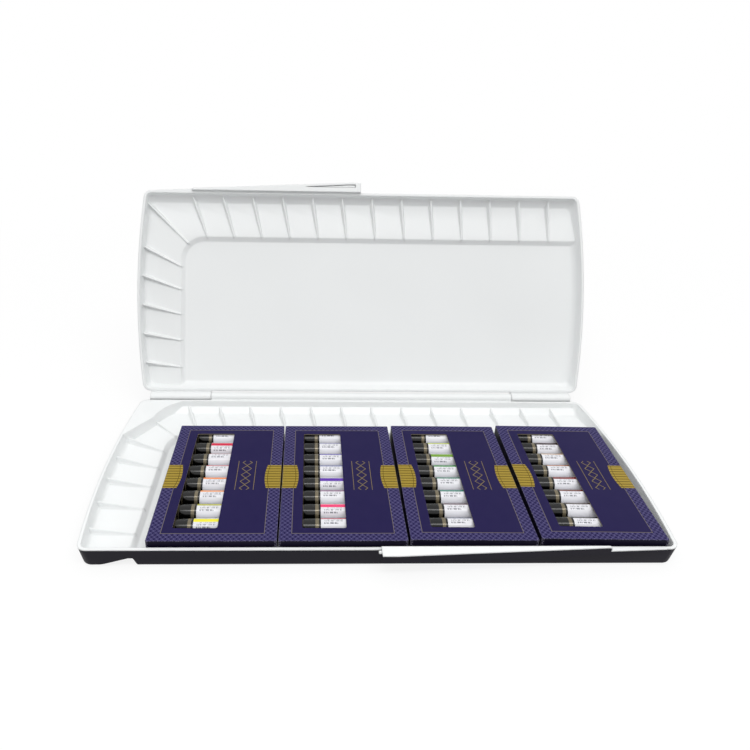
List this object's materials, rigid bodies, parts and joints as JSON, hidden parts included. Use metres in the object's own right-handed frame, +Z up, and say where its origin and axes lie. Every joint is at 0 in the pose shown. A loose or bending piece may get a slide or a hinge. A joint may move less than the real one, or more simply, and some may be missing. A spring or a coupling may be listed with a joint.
{
  "type": "watercolour palette set",
  "caption": "Flat folding palette box, open, with paint wells and a mixing floor in both halves and cartons of tube paint with windows lying in the lower half.",
  "frame": {"origin": "middle of the lower half's flat underside", "axes": "+X along the hinge, to the right seen from the front; +Y from the front edge to the hinge; +Z up"},
  "size_m": [0.466, 0.3286, 0.2188],
  "materials": {
    "dark_plastic": "satin, almost black navy",
    "white_plastic": "smooth, half gloss",
    "steel": "drawn wire",
    "printed_card": "printed card, matt laminate",
    "black_card": "matt card",
    "tube_label": "printed label, half gloss",
    "black_plastic": "gloss"
  },
  "bodies": {
    "base": {"base_shell": "dark_plastic", "base_tray": "white_plastic", "latch_pin": "white_plastic", "hinge_pin_left": "steel", "hinge_pin_right": "steel"},
    "lid": {"lid_shell": "dark_plastic", "lid_tray": "white_plastic"},
    "carton_1": {"carton_1_cover": "printed_card", "carton_1_tray": "printed_card", "carton_1_insert": "black_card", "carton_1_tubes": "tube_label", "carton_1_caps": "black_plastic"},
    "carton_2": {"carton_2_cover": "printed_card", "carton_2_tray": "printed_card", "carton_2_insert": "black_card", "carton_2_tubes": "tube_label", "carton_2_caps": "black_plastic"},
    "carton_3": {"carton_3_cover": "printed_card", "carton_3_tray": "printed_card", "carton_3_insert": "black_card", "carton_3_tubes": "tube_label", "carton_3_caps": "black_plastic"},
    "carton_4": {"carton_4_cover": "printed_card", "carton_4_tray": "printed_card", "carton_4_insert": "black_card", "carton_4_tubes": "tube_label", "carton_4_caps": "black_plastic"}
  },
  "joints": [
    {"name": "lid_hinge", "type": "hinge", "parent": "base", "child": "lid", "pos_m": [0, 0.1092, 0.0174], "axis": [-1, 0, 0], "range_deg": [-116, 64]},
    {"name": "carton_1_lift", "type": "slide", "parent": "base", "child": "carton_1", "axis": [0, 0, 1], "range_m": [0, 0.06]},
    {"name": "carton_2_lift", "type": "slide", "parent": "base", "child": "carton_2", "axis": [0, 0, 1], "range_m": [0, 0.06]},
    {"name": "carton_3_lift", "type": "slide", "parent": "base", "child": "carton_3", "axis": [0, 0, 1], "range_m": [0, 0.06]},
    {"name": "carton_4_lift", "type": "slide", "parent": "base", "child": "carton_4", "axis": [0, 0, 1], "range_m": [0, 0.06]}
  ]
}
